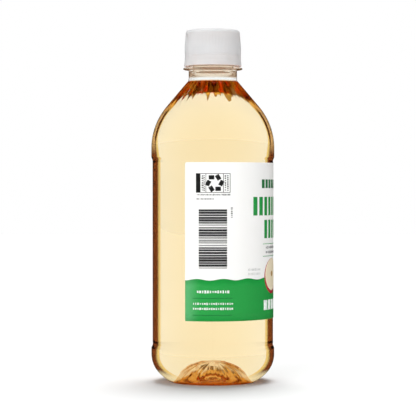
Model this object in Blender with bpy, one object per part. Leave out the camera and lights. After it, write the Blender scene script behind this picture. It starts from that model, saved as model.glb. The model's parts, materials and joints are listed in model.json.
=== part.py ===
"""A one-pint bottle of vinegar: a clear blown PET bottle, the vinegar in it, a white screw cap and a label.

Metres, +Z up. The origin is the centre of the foot, on the surface that the bottle stands on.
The front is -Y: an angle on the label is counted from there, positive towards +X.
"""
import math

import bmesh
import bpy
from mathutils import Matrix, Vector

MM = 0.001
SEGMENTS = 48
GAP = 0.3 * MM

# Blown body, sizes of the outside
BODY_R = 33.1 * MM
PANEL_R = 32.45 * MM
PANEL_GROOVE = 0.25 * MM
PANEL_BOTTOM_Z = 19.6 * MM
PANEL_TOP_Z = 119.1 * MM
PANEL_STEP = 1.5 * MM
HEEL_TOP_Z = 15.0 * MM
HEEL_PULL = 7.5 * MM
FOOT_R = 22.8 * MM
FOOT_LAND = 1.6 * MM
FOOT_RISE = math.radians(28)
FOOT_PULL = 6.2 * MM
SHOULDER_Z = 125.5 * MM
SHOULDER_ARC_R = 34.5 * MM
SHOULDER_SLOPE = math.radians(40.3)
WALL = 0.5 * MM
BASE_WALL = 0.9 * MM

# Pushed-up base
DOME_R = 19.6 * MM
DOME_Z = 11.5 * MM
DOME_SWEEP = math.radians(82)
SKIRT_R = 20.5 * MM
SKIRT_Z = 0.5 * MM
BASE_RIBS = 8
BASE_RIB_H = 0.6 * MM

# Neck, support ring and threaded finish
NECK_R = 13.0 * MM
NECK_Z = 162.2 * MM
NECK_ROOT = 0.9 * MM
NECK_WALL = 1.9 * MM
ROOT_WALL = 0.6 * MM
RING_R = 16.0 * MM
RING_Z = 167.5 * MM
RING_T = 1.3 * MM
RING_EDGE_T = 0.8 * MM
BEAD_R = 13.75 * MM
BEAD_Z = 173.2 * MM
BEAD_T = 1.2 * MM
FINISH_R = 12.3 * MM
FINISH_BORE_R = 10.9 * MM
MOUTH_Z = 187.0 * MM
LIP = 0.4 * MM

# Screw thread shared by the finish and the cap
PITCH = 3.2 * MM
THREAD_TURNS = 1.5
THREAD_STEPS = 24
THREAD_TOP_Z = 184.9 * MM
THREAD_CREST_R = 13.35 * MM
THREAD_ROOT_HALF = 0.75 * MM
THREAD_CREST_HALF = 0.3 * MM
CAP_THREAD_CREST_R = 12.75 * MM
CAP_THREAD_ROOT_HALF = 0.6 * MM
CAP_THREAD_CREST_HALF = 0.25 * MM

# Cap, sizes of the outside and of its bore
CAP_TOP_Z = 188.8 * MM
CAP_BOTTOM_Z = 169.5 * MM
CAP_TOP_R = 14.55 * MM
CAP_CORNER = 1.6 * MM
CAP_SKIRT_R = 15.15 * MM
CAP_SKIRT_Z = 179.6 * MM
CAP_TAPER = 3.0 * MM
CAP_GRIP_R = 14.85 * MM
CAP_HEM_R = 15.55 * MM
CAP_HEM_Z = 172.2 * MM
CAP_PLATE = 1.4 * MM
CAP_BORE_R = 13.7 * MM
BAND_BORE_R = 14.15 * MM
BAND_LIP_R = 13.35 * MM
BAND_LIP_Z = 170.9 * MM
SCORE_Z = 175.05 * MM
SCORE_RECESS = 1.5 * MM
SCORE_DEPTH = 0.2 * MM
SLIT_T = 0.35 * MM
BRIDGES = 12
BRIDGE_ANGLE = math.radians(4)

# Vinegar and label
LEVEL_Z = 161.2 * MM
LABEL_BOTTOM_Z = 34.5 * MM
LABEL_TOP_Z = 117.5 * MM
LABEL_T = 0.2 * MM
LABEL_START = math.radians(-26.5)
LABEL_SPAN = math.radians(212.5)
LABEL_STEPS = 36
FRONT = math.radians(-90)


def clear_scene():
    for old in list(bpy.data.objects):
        bpy.data.objects.remove(old, do_unlink=True)


def plastic(name, colour, roughness, transmission=0.0, ior=1.5):
    material = bpy.data.materials.new(name)
    material.use_nodes = True
    shader = material.node_tree.nodes["Principled BSDF"]
    shader.inputs["Base Color"].default_value = (*colour, 1.0)
    shader.inputs["Metallic"].default_value = 0.0
    shader.inputs["Roughness"].default_value = roughness
    shader.inputs["IOR"].default_value = ior
    shader.inputs["Transmission Weight"].default_value = transmission
    return material


def add_object(name, bm, material=None):
    mesh = bpy.data.meshes.new(name)
    bm.to_mesh(mesh)
    bm.free()
    mesh.shade_smooth()
    mesh.set_sharp_from_angle(angle=math.radians(35))
    obj = bpy.data.objects.new(name, mesh)
    bpy.context.scene.collection.objects.link(obj)
    if material:
        mesh.materials.append(material)
    return obj


def arc(centre, radius, start, end, steps):
    """Points of an arc in the r-z plane, without its first point. Angles run from +r towards +z."""
    points = []
    for i in range(1, steps + 1):
        angle = start + (end - start) * i / steps
        points.append((centre[0] + radius * math.cos(angle), centre[1] + radius * math.sin(angle)))
    return points


def bezier(p0, p1, p2, p3, steps):
    """Points of a cubic curve in the r-z plane, with both ends."""
    points = []
    for i in range(steps + 1):
        t = i / steps
        s = 1 - t
        weights = (s**3, 3 * s * s * t, 3 * s * t * t, t**3)
        corners = (p0, p1, p2, p3)
        points.append(tuple(sum(w * p[k] for w, p in zip(weights, corners)) for k in (0, 1)))
    return points


def inset(points, distance):
    """The outline moved to its left by distance, square to itself at every point."""
    moved = []
    for i, point in enumerate(points):
        before = Vector(points[max(i - 1, 0)])
        after = Vector(points[min(i + 1, len(points) - 1)])
        run = (after - before).normalized()
        moved.append((point[0] - run.y * distance, point[1] + run.x * distance))
    return moved


def turned(profile):
    """Turns an r-z outline about Z into a closed body. Ends on the axis become poles."""
    bm = bmesh.new()
    verts = [bm.verts.new((r, 0, z)) for r, z in profile]
    edges = [bm.edges.new(pair) for pair in zip(verts, verts[1:])]
    bmesh.ops.spin(
        bm, geom=verts + edges, cent=(0, 0, 0), axis=(0, 0, 1),
        angle=2 * math.pi, steps=SEGMENTS, use_merge=True,
    )
    bmesh.ops.remove_doubles(bm, verts=bm.verts, dist=0.001 * MM)
    bmesh.ops.recalc_face_normals(bm, faces=bm.faces)
    return bm


def raise_base_ribs(bm):
    """Lifts radial ribs on the dome of the base, on every skin that lies over it."""
    for vert in bm.verts:
        reach = Vector(vert.co[:2]).length
        if reach > DOME_R or vert.co.z > HEEL_TOP_Z:
            continue
        swell = math.sin(math.pi * reach / DOME_R) ** 2
        angle = math.atan2(vert.co.y, vert.co.x) - FRONT
        vert.co.z += BASE_RIB_H * swell * math.cos(BASE_RIBS * angle)


def dome(rise, steps):
    """The dome of the base from its top down to its skirt, lifted and widened by rise."""
    points = []
    for i in range(steps + 1):
        angle = DOME_SWEEP * i / steps
        points.append(((DOME_R + rise) * math.sin(angle), (DOME_Z + rise) * math.cos(angle)))
    return points


def heel(rise, steps):
    """The curve from the foot up to the body, moved inwards by rise."""
    foot = (FOOT_R, 0.0)
    lift = (FOOT_R + FOOT_PULL * math.cos(FOOT_RISE), FOOT_PULL * math.sin(FOOT_RISE))
    curve = bezier(foot, lift, (BODY_R, HEEL_TOP_Z - HEEL_PULL), (BODY_R, HEEL_TOP_Z), steps)
    return inset(curve, rise)


def shoulder(rise, steps):
    """The round shoulder up to the start of its straight cone, moved inwards by rise."""
    centre = (BODY_R - SHOULDER_ARC_R, SHOULDER_Z)
    return [(BODY_R - rise, SHOULDER_Z)] + arc(centre, SHOULDER_ARC_R - rise, 0.0, SHOULDER_SLOPE, steps)


def cone_z(radius, rise):
    """Height at which the cone of the shoulder, moved inwards by rise, has a radius."""
    start_r, start_z = shoulder(rise, 1)[-1]
    return start_z + (start_r - radius) / math.tan(SHOULDER_SLOPE)


def cone_r(height, rise):
    """Radius of the cone of the shoulder, moved inwards by rise, at a height."""
    start_r, start_z = shoulder(rise, 1)[-1]
    return start_r - (height - start_z) * math.tan(SHOULDER_SLOPE)


def blown_skin(rise, base_rise, steps):
    """A skin of the blown body from the middle of its base to the cone, moved inwards by rise."""
    groove_r = PANEL_R - PANEL_GROOVE - rise
    points = dome(base_rise, steps - 2)
    points += [
        (SKIRT_R, SKIRT_Z + base_rise),
        (FOOT_R - FOOT_LAND, base_rise),
    ]
    points += heel(base_rise, steps - 1)
    points += [
        (BODY_R - rise, PANEL_BOTTOM_Z - PANEL_STEP),
        (PANEL_R - rise, PANEL_BOTTOM_Z),
        (groove_r, PANEL_BOTTOM_Z + PANEL_STEP / 2),
        (PANEL_R - rise, PANEL_BOTTOM_Z + PANEL_STEP),
        (PANEL_R - rise, PANEL_TOP_Z),
        (BODY_R - rise, PANEL_TOP_Z + PANEL_STEP),
    ]
    return points + shoulder(rise, steps)


def bottle_outside():
    root_r = NECK_R + NECK_ROOT / 2
    ring_slope = (RING_T - RING_EDGE_T) / 2
    return blown_skin(0.0, 0.0, 8) + [
        (root_r, cone_z(root_r, 0.0)),
        (NECK_R, NECK_Z),
        (NECK_R, RING_Z),
        (RING_R, RING_Z + ring_slope),
        (RING_R, RING_Z + ring_slope + RING_EDGE_T),
        (NECK_R, RING_Z + RING_T),
        (NECK_R, BEAD_Z - BEAD_T / 2),
        (BEAD_R, BEAD_Z - BEAD_T / 4),
        (BEAD_R, BEAD_Z + BEAD_T / 4),
        (FINISH_R, BEAD_Z + BEAD_T),
        (FINISH_R, MOUTH_Z - LIP),
        (FINISH_R - LIP, MOUTH_Z),
    ]


def bottle_inside():
    """The inner skin from the middle of the base up to the mouth."""
    root_in = NECK_R - ROOT_WALL
    return blown_skin(WALL, BASE_WALL, 6) + [
        (root_in, cone_z(root_in, WALL)),
        (root_in, NECK_Z),
        (NECK_R - NECK_WALL, RING_Z - RING_T),
        (FINISH_BORE_R, MOUTH_Z - LIP),
        (FINISH_BORE_R + LIP, MOUTH_Z),
    ]


def thread_bar(root_r, crest_r, root_half, crest_half, top_z, embed):
    """One screw ridge: a four-sided bar that winds down from top_z and fades out at both ends."""
    bm = bmesh.new()
    count = round(THREAD_TURNS * THREAD_STEPS)
    fade = THREAD_STEPS / 6
    sections = []
    for i in range(count + 1):
        share = min(1.0, (min(i, count - i) + 0.4) / fade)
        angle = FRONT + 2 * math.pi * i / THREAD_STEPS
        z = top_z - PITCH * i / THREAD_STEPS
        tip_r = root_r + (crest_r - root_r) * share
        outline = (
            (root_r - embed, z - root_half),
            (tip_r, z - crest_half),
            (tip_r, z + crest_half),
            (root_r - embed, z + root_half),
        )
        ring = [bm.verts.new((r * math.cos(angle), r * math.sin(angle), h)) for r, h in outline]
        sections.append(ring)
    for near, far in zip(sections, sections[1:]):
        for k in range(4):
            bm.faces.new((near[k], near[(k + 1) % 4], far[(k + 1) % 4], far[k]))
    bm.faces.new(sections[0])
    bm.faces.new(sections[-1])
    bmesh.ops.recalc_face_normals(bm, faces=bm.faces)
    return bm


def swept_block(corners, start, span, steps):
    """Sweeps a closed r-z outline about Z through an angle and closes both ends."""
    bm = bmesh.new()
    turn = Matrix.Rotation(start, 4, "Z")
    verts = [bm.verts.new(turn @ Vector((r, 0, z))) for r, z in corners]
    face = bm.faces.new(verts)
    geometry = [face, *face.edges, *face.verts]
    bmesh.ops.spin(
        bm, geom=geometry, cent=(0, 0, 0), axis=(0, 0, 1),
        angle=span, steps=steps, use_duplicate=False,
    )
    bmesh.ops.recalc_face_normals(bm, faces=bm.faces)
    return bm


def boolean(obj, helper, operation):
    helper.hide_render = True
    helper.display_type = "WIRE"
    cut = obj.modifiers.new(operation.title(), "BOOLEAN")
    cut.operation = operation
    cut.solver = "EXACT"
    cut.object = helper


def make_bottle():
    bm = turned(bottle_outside() + bottle_inside()[::-1])
    raise_base_ribs(bm)
    obj = add_object("bottle", bm, plastic("clear_pet", (0.93, 0.95, 0.95), 0.04, 1.0, 1.575))
    ridge = thread_bar(
        FINISH_R, THREAD_CREST_R, THREAD_ROOT_HALF, THREAD_CREST_HALF, THREAD_TOP_Z, GAP,
    )
    boolean(obj, add_object("finish_thread_bar", ridge), "UNION")
    return obj


def make_vinegar():
    """Fills the bottle to the foot of the neck, one gap clear of its wall."""
    skin = WALL + GAP
    points = blown_skin(skin, BASE_WALL + GAP, 6) + [(cone_r(LEVEL_Z, skin), LEVEL_Z), (0.0, LEVEL_Z)]
    bm = turned(points)
    raise_base_ribs(bm)
    return add_object("vinegar", bm, plastic("cider_vinegar", (0.93, 0.66, 0.26), 0.03, 1.0, 1.34))


def make_cap():
    """One moulding: the threaded cap with its tamper band, joined by small bridges across a slit."""
    corner = (CAP_TOP_R - CAP_CORNER, CAP_TOP_Z - CAP_CORNER)
    points = [(0.0, CAP_TOP_Z), (corner[0], CAP_TOP_Z)]
    points += arc(corner, CAP_CORNER, math.radians(90), 0.0, 3)
    points += [
        (CAP_GRIP_R, CAP_SKIRT_Z + CAP_TAPER),
        (CAP_SKIRT_R, CAP_SKIRT_Z),
        (CAP_SKIRT_R, SCORE_Z + SCORE_RECESS / 2),
        (CAP_SKIRT_R - SCORE_DEPTH, SCORE_Z + SCORE_RECESS / 3),
        (CAP_SKIRT_R - SCORE_DEPTH, SCORE_Z - SCORE_RECESS / 3),
        (CAP_SKIRT_R, SCORE_Z - SCORE_RECESS / 2),
        (CAP_SKIRT_R, CAP_HEM_Z),
        (CAP_HEM_R, CAP_BOTTOM_Z),
        (BAND_BORE_R, CAP_BOTTOM_Z),
        (BAND_LIP_R, BAND_LIP_Z - 0.3 * MM),
        (BAND_LIP_R, BAND_LIP_Z + 0.1 * MM),
        (BAND_BORE_R, BAND_LIP_Z + 0.7 * MM),
        (BAND_BORE_R, SCORE_Z + SLIT_T),
        (CAP_BORE_R, SCORE_Z + 3 * SLIT_T),
        (CAP_BORE_R, CAP_TOP_Z - CAP_PLATE),
        (0.0, CAP_TOP_Z - CAP_PLATE),
    ]
    obj = add_object("cap", turned(points), plastic("white_polypropylene", (0.86, 0.85, 0.84), 0.42))
    ridge = thread_bar(
        CAP_BORE_R, CAP_THREAD_CREST_R, CAP_THREAD_ROOT_HALF, CAP_THREAD_CREST_HALF,
        THREAD_TOP_Z - PITCH / 2, -GAP,
    )
    boolean(obj, add_object("cap_thread_bar", ridge), "UNION")
    slit = (
        (BAND_BORE_R - 2 * GAP, SCORE_Z - SLIT_T / 2),
        (CAP_SKIRT_R + GAP, SCORE_Z - SLIT_T / 2),
        (CAP_SKIRT_R + GAP, SCORE_Z + SLIT_T / 2),
        (BAND_BORE_R - 2 * GAP, SCORE_Z + SLIT_T / 2),
    )
    bridge_pitch = 2 * math.pi / BRIDGES
    cutters = bmesh.new()
    for k in range(BRIDGES):
        start = k * bridge_pitch + BRIDGE_ANGLE / 2
        block = swept_block(slit, start, bridge_pitch - BRIDGE_ANGLE, 3)
        spare = bpy.data.meshes.new("slit")
        block.to_mesh(spare)
        block.free()
        cutters.from_mesh(spare)
        bpy.data.meshes.remove(spare)
    boolean(obj, add_object("band_slits", cutters), "DIFFERENCE")
    return obj


def make_label():
    inner = PANEL_R + GAP
    corners = (
        (inner, LABEL_BOTTOM_Z),
        (inner + LABEL_T, LABEL_BOTTOM_Z),
        (inner + LABEL_T, LABEL_TOP_Z),
        (inner, LABEL_TOP_Z),
    )
    bm = swept_block(corners, FRONT + LABEL_START, LABEL_SPAN, LABEL_STEPS)
    return add_object("label", bm, plastic("label_film", (0.94, 0.95, 0.92), 0.35))


clear_scene()
make_bottle()
make_vinegar()
make_cap()
make_label()
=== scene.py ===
# %% [markdown]
# # A one-pint bottle of vinegar
# The real thing is a clear blown PET bottle, filled to the foot of its neck with pale amber vinegar.
# A white screw cap with a tamper band closes it, and a printed film label wraps three fifths of the way
# round. This lesson dresses the fixed CAD frame: each visible piece is built again with its fine curves,
# and its size is read from the frame wherever the frame has it. Lengths are in metres, and MM turns
# millimetres into metres. The front of the bottle is -Y.

# %% Load the frame
import json
import math

import bmesh
import bpy
import numpy as np
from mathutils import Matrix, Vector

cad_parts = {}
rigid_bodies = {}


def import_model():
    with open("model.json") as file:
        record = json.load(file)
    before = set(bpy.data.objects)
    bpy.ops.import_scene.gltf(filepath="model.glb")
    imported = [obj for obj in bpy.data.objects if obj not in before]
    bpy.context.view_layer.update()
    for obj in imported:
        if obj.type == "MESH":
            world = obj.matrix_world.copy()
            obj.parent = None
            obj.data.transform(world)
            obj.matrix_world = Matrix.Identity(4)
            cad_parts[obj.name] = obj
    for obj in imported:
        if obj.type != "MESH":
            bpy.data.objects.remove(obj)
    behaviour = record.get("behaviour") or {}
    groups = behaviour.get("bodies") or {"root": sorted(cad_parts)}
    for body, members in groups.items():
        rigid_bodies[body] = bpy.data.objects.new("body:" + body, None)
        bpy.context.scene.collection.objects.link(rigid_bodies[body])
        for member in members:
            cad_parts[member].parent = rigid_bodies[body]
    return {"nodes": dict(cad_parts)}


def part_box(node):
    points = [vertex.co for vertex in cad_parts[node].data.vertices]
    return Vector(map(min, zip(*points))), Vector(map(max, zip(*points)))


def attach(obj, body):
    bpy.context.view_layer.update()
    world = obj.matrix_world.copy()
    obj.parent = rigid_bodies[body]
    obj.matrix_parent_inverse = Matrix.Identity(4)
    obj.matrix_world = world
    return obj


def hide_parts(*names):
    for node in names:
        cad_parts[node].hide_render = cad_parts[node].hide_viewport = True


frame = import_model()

MM = 0.001
TAU = 2 * math.pi
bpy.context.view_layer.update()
print("frame nodes:", sorted(frame["nodes"]))

# %% [markdown]
# ## Sizes
# The outer sizes come from the frame, so the pieces fit it without any fitting by eye. What the frame
# can't tell, such as a wall thickness inside the bottle, is named here in millimetres.

# %% Sizes read from the frame
bottle_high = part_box("bottle")[1]
vinegar_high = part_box("vinegar")[1]
cap_low, cap_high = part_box("cap")
label_low, label_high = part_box("label")
BODY_R = bottle_high.x
MOUTH_Z = bottle_high.z
LEVEL_Z = vinegar_high.z
CAP_TOP_Z = cap_high.z
CAP_BOTTOM_Z = cap_low.z
CAP_HEM_R = cap_high.x
LABEL_BOTTOM_Z = label_low.z
LABEL_TOP_Z = label_high.z
for what, z in (("level", LEVEL_Z), ("mouth", MOUTH_Z), ("cap top", CAP_TOP_Z)):
    print(what, "at", round(z / MM, 1), "mm")

# %% Sizes of the blown body
PANEL_R = BODY_R - 0.65 * MM
PANEL_GROOVE = 0.10 * MM
PANEL_BOTTOM_Z = 19.6 * MM
PANEL_TOP_Z = 119.1 * MM
PANEL_STEP = 1.5 * MM
HEEL_TOP_Z = 15.0 * MM
HEEL_PULL = 7.5 * MM
FOOT_R = 22.8 * MM
FOOT_LAND = 1.6 * MM
FOOT_RISE = math.radians(28)
FOOT_PULL = 6.2 * MM
DOME_R = 19.6 * MM
DOME_Z = 11.5 * MM
DOME_SWEEP = math.radians(82)
DOME_STEPS = 24
HEEL_STEPS = 24
PANEL_ROWS = 12
SKIRT_R = 20.5 * MM
SKIRT_Z = 0.5 * MM
SHOULDER_Z = 125.5 * MM
SHOULDER_ARC_R = 34.5 * MM
SHOULDER_SLOPE = math.radians(40.3)
SHOULDER_STEPS = 28
CONE_STEPS = 16
WALL = 0.5 * MM
BASE_WALL = 0.9 * MM
THINNING_Z = (8 * MM, 18 * MM)

# %% Sizes of the neck and finish
NECK_R = 13.0 * MM
NECK_Z = 162.2 * MM
ROOT_WALL = 0.6 * MM
ROOT_FROM_Z = 145 * MM
CONE_TOP_R = NECK_R + 0.2 * MM
NECK_WALL = 1.9 * MM
RING_R = 16.0 * MM
RING_Z = 167.5 * MM
RING_T = 1.3 * MM
BEAD_R = 13.75 * MM
BEAD_Z = 173.2 * MM
BEAD_T = 1.2 * MM
FINISH_R = 12.3 * MM
FINISH_BORE_R = 10.9 * MM
LIP = 0.4 * MM

# %% [markdown]
# ## Outlines
# Every round piece here is turned: half an outline, swept about Z. A moulded part has no knife edges,
# so an outline is a row of corners and each corner carries its own rounding radius. That keeps the
# number of points small and gives the highlights of a real moulding.

# %% Outline helpers
def rounded(corners, angle_step=math.radians(15)):
    """The outline through corners (r, z, radius), with each corner turned into an arc."""
    points = []
    for i, (r, z, radius) in enumerate(corners):
        here = np.array((r, z))
        if radius == 0 or i in (0, len(corners) - 1):
            points.append(here)
            continue
        before = np.array(corners[i - 1][:2]) - here
        after = np.array(corners[i + 1][:2]) - here
        reach = (np.linalg.norm(before), np.linalg.norm(after))
        before, after = before / reach[0], after / reach[1]
        opening = math.acos(max(-1.0, min(1.0, float(before @ after))))
        if opening > math.pi - 0.01:
            points.append(here)
            continue
        cut = min(radius / math.tan(opening / 2), 0.49 * min(reach))
        radius = cut * math.tan(opening / 2)
        middle = (before + after) / np.linalg.norm(before + after)
        centre = here + middle * radius / math.sin(opening / 2)
        start, end = here + before * cut - centre, here + after * cut - centre
        turn = math.atan2(start[0] * end[1] - start[1] * end[0], float(start @ end))
        steps = max(2, math.ceil(abs(turn) / angle_step))
        for k in range(steps + 1):
            c, s = math.cos(turn * k / steps), math.sin(turn * k / steps)
            points.append(centre + np.array((c * start[0] - s * start[1], s * start[0] + c * start[1])))
    return [tuple(p) for p in points]


def arc(centre, radius, start, end, steps):
    """Points of an arc in the r-z plane, both ends included. Angles run from +r towards +z."""
    angles = [start + (end - start) * i / steps for i in range(steps + 1)]
    return [(centre[0] + radius * math.cos(a), centre[1] + radius * math.sin(a)) for a in angles]


def bezier(p0, p1, p2, p3, steps):
    """Points of a cubic curve in the r-z plane, both ends included."""
    t = np.linspace(0, 1, steps + 1)[:, None]
    corners = [np.array(p) for p in (p0, p1, p2, p3)]
    curve = (1 - t)**3 * corners[0] + 3 * (1 - t)**2 * t * corners[1]
    curve = curve + 3 * (1 - t) * t**2 * corners[2] + t**3 * corners[3]
    return [tuple(p) for p in curve]


def inset(points, depth):
    """The outline moved to its left, square to itself. The depth is a function of the height."""
    moved = []
    for i, (r, z) in enumerate(points):
        run = np.subtract(points[min(i + 1, len(points) - 1)], points[max(i - 1, 0)])
        run = run / np.linalg.norm(run)
        moved.append((max(0.0, r - run[1] * depth(z)), z + run[0] * depth(z)))
    return moved


def smooth_step(low, high, value):
    """The share from 0 to 1 that the value has reached between low and high, eased."""
    share = min(1.0, max(0.0, (value - low) / (high - low)))
    return share * share * (3 - 2 * share)


# %% [markdown]
# ## Turning an outline
# Blender's Spin or Screw would do, but a bottle wall needs thousands of evenly placed points that are
# then nudged by a rule, so the turned mesh is written out directly: one ring of points per outline
# point, quads between the rings, and a fan where the outline meets the axis.

# %% Lathe helper
def turned(name, outline, segments, nudge=None):
    """A closed mesh swept about Z. nudge(r, z, angles, index) may return new r and z for a ring."""
    angles = np.arange(segments) * TAU / segments
    points, rings = [], []
    for index, (r, z) in enumerate(outline):
        if r < 1e-7:
            rings.append([len(points)] * segments)
            points.append((0.0, 0.0, z))
            continue
        ring_r, ring_z = np.full(segments, r), np.full(segments, z)
        if nudge:
            ring_r, ring_z = nudge(ring_r, ring_z, angles, index)
        rings.append(list(range(len(points), len(points) + segments)))
        points += list(zip(ring_r * np.sin(angles), -ring_r * np.cos(angles), ring_z))
    faces = []
    for near, far in zip(rings, rings[1:] + rings[:1] if outline[0][0] > 1e-7 else rings[1:]):
        for k in range(segments):
            face = [near[k], near[(k + 1) % segments], far[(k + 1) % segments], far[k]]
            face = list(dict.fromkeys(face))
            if len(face) > 2:
                faces.append(face)
    mesh = bpy.data.meshes.new(name)
    mesh.from_pydata(points, [], faces)
    return mesh


def add_piece(name, mesh, material=None, sharp=None):
    """Makes an object of a mesh, with its faces pointing outwards and shaded smooth."""
    bm = bmesh.new()
    bm.from_mesh(mesh)
    bmesh.ops.recalc_face_normals(bm, faces=bm.faces)
    bm.to_mesh(mesh)
    bm.free()
    mesh.shade_smooth()
    if sharp:
        mesh.set_sharp_from_angle(angle=math.radians(sharp))
    if material:
        mesh.materials.append(material)
    piece = bpy.data.objects.new(name, mesh)
    bpy.context.scene.collection.objects.link(piece)
    print(name, len(mesh.polygons), "faces")
    return piece


# %% [markdown]
# ## The label's sizes
# The film lies in the shallow panel of the body, so its radius follows from the panel. How far round it
# goes is read off the photo at its start, and is a usual wrap at its end.

# %% Sizes of the label
FILM_LIFT = 0.08 * MM
FILM_T = 0.12 * MM
LABEL_START = math.radians(-26.5)
LABEL_END = math.radians(186)
FILM_CORNER = 0.8 * MM
FILM_R = PANEL_R + FILM_LIFT + FILM_T
LABEL_STEPS = 320
FILM_ROWS = 4

# %% [markdown]
# ## Nodes
# Materials and what repeats are both made of nodes, and one small function adds them all, with their
# settings and links.

# %% Node helper
def add_node(tree, kind, feeds=(), **settings):
    """Adds a node. Feeds go to its inputs, in order or by name. A node stands for its first output."""
    made = tree.nodes.new(kind)
    for name, value in settings.items():
        setattr(made, name, value)
    if not isinstance(feeds, dict):
        feeds = dict(enumerate(feeds))
    for key, source in feeds.items():
        if isinstance(source, bpy.types.Node):
            source = source.outputs[0]
        if isinstance(source, bpy.types.NodeSocket):
            tree.links.new(source, made.inputs[key])
        else:
            made.inputs[key].default_value = source
    return made


# %% [markdown]
# ## Geometry Nodes helpers
# The printed marks repeat, so node trees grow them: rows of blocks, rows of discs, a ring of blocks and
# a waved band. They are laid out flat, with X as the way round the bottle, Y as the height of the ink
# and Z up, and the end of each tree bends them round the film. Every tree has named inputs for its
# sizes. `grow` sets those inputs, reads the evaluated result as a plain mesh and throws the modifier's
# host away.

# %% Tree helpers
SOCKETS = {float: "NodeSocketFloat", int: "NodeSocketInt", tuple: "NodeSocketVector"}


def new_tree(name, **inputs):
    """A geometry tree with one named input for each default given, the film's radius and a material."""
    tree = bpy.data.node_groups.new(name, "GeometryNodeTree")
    add_socket = tree.interface.new_socket
    add_socket("Geometry", in_out="OUTPUT", socket_type="NodeSocketGeometry")
    inputs["Film_Radius"] = FILM_R
    for key, default in inputs.items():
        made = add_socket(key.replace("_", " "), in_out="INPUT", socket_type=SOCKETS[type(default)])
        made.default_value = default
    add_socket("Material", in_out="INPUT", socket_type="NodeSocketMaterial")
    print("node tree:", name)
    return tree, add_node(tree, "NodeGroupInput").outputs


def end_tree(tree, given, flat_print):
    """Bends the flat print round the film, gives it the material and ends the tree."""
    made = add_node(tree, "GeometryNodeRealizeInstances", (flat_print,))
    flat = add_node(tree, "ShaderNodeSeparateXYZ", (add_node(tree, "GeometryNodeInputPosition"),)).outputs
    angle = add_node(tree, "ShaderNodeMath", (flat["X"], given["Film Radius"]), operation="DIVIDE")
    radius = add_node(tree, "ShaderNodeMath", (given["Film Radius"], flat["Y"]), operation="ADD")
    front = add_node(tree, "ShaderNodeMath", (0.0, radius), operation="SUBTRACT")
    place = add_node(tree, "ShaderNodeCombineXYZ", {"Y": front, "Z": flat["Z"]})
    bent = add_node(
        tree, "ShaderNodeVectorRotate", {"Vector": place, "Angle": angle}, rotation_type="Z_AXIS",
    )
    made = add_node(tree, "GeometryNodeSetPosition", {"Geometry": made, "Position": bent})
    made = add_node(tree, "GeometryNodeRealizeInstances", (made,))
    made = add_node(tree, "GeometryNodeSetMaterial", {"Geometry": made, "Material": given["Material"]})
    add_node(tree, "NodeGroupOutput", (made,))
    return tree


def grow(name, tree, material, **sizes):
    """Runs a tree with the given sizes and returns its result as a plain mesh."""
    host = bpy.data.objects.new(name + "_host", bpy.data.meshes.new(name + "_host"))
    bpy.context.scene.collection.objects.link(host)
    modifier = host.modifiers.new("grow", "NODES")
    modifier.node_group = tree
    sizes["Material"] = material
    for item in tree.interface.items_tree:
        key = item.name.replace(" ", "_")
        if item.in_out == "INPUT" and key in sizes:
            modifier[item.identifier] = sizes.pop(key)
    if sizes:
        raise ValueError(f"{tree.name} has no input {sorted(sizes)}")
    graph = bpy.context.evaluated_depsgraph_get()
    mesh = bpy.data.meshes.new_from_object(host.evaluated_get(graph), depsgraph=graph)
    mesh.name = name
    bpy.data.objects.remove(host)
    return mesh


# %% [markdown]
# ## Materials
# Every material starts from what the real one is. Colours are sRGB hex values that one function turns
# to linear light. Patterns read Object coordinates, and their scale is one over a real size.

# %% Material helpers
PATTERN_DETAIL = 3.0
EASED = "SMOOTHSTEP"


def linear(code):
    """A #rrggbb colour as linear RGBA."""
    channels = [int(code[i:i + 2], 16) / 255 for i in (1, 3, 5)]
    return (*[c / 12.92 if c <= 0.04045 else ((c + 0.055) / 1.055) ** 2.4 for c in channels], 1.0)


def new_material(name):
    """An empty material, its tree and its Object coordinates."""
    material = bpy.data.materials.new(name)
    material.use_nodes = True
    tree = material.node_tree
    tree.nodes.clear()
    print("material:", name)
    return material, tree, add_node(tree, "ShaderNodeTexCoord").outputs["Object"]


def surface(tree, filling=None, **sockets):
    """Ends a material: a Principled BSDF with the given sockets, and what fills the piece."""
    sockets = {key.replace("_", " "): value for key, value in sockets.items()}
    ends = {"Surface": add_node(tree, "ShaderNodeBsdfPrincipled", sockets)}
    if filling:
        ends["Volume"] = filling
    add_node(tree, "ShaderNodeOutputMaterial", ends)


def fade(tree, value, low, high, first, second, most=1.0):
    """A colour that goes over from the first to the second as the value goes from low to high."""
    share = add_node(tree, "ShaderNodeMapRange", (value, low, high, 0.0, most), interpolation_type=EASED)
    return add_node(tree, "ShaderNodeMix", {0: share, 6: first, 7: second}, data_type="RGBA").outputs[2]


def mottled(tree, place, size, dark, light):
    """A colour that wanders between two hex colours in blobs about as large as the size."""
    blobs = add_node(tree, "ShaderNodeTexNoise", dict(Vector=place, Scale=1 / size, Detail=PATTERN_DETAIL))
    colours = {0: blobs, 6: linear(dark), 7: linear(light)}
    return add_node(tree, "ShaderNodeMix", colours, data_type="RGBA").outputs[2]


def patchy(tree, place, size, low, high):
    """A roughness that wanders between two values in blobs about as large as the size."""
    blobs = add_node(tree, "ShaderNodeTexNoise", dict(Vector=place, Scale=1 / size, Detail=PATTERN_DETAIL))
    return add_node(tree, "ShaderNodeMapRange", (blobs, 0.3, 0.7, low, high), interpolation_type=EASED)


def swollen(tree, place, size, height):
    """A normal for swells about as wide as the size and as high as the height."""
    swells = add_node(tree, "ShaderNodeTexNoise", dict(Vector=place, Scale=1 / size, Detail=PATTERN_DETAIL))
    return add_node(tree, "ShaderNodeBump", {"Height": swells, "Distance": height})


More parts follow.
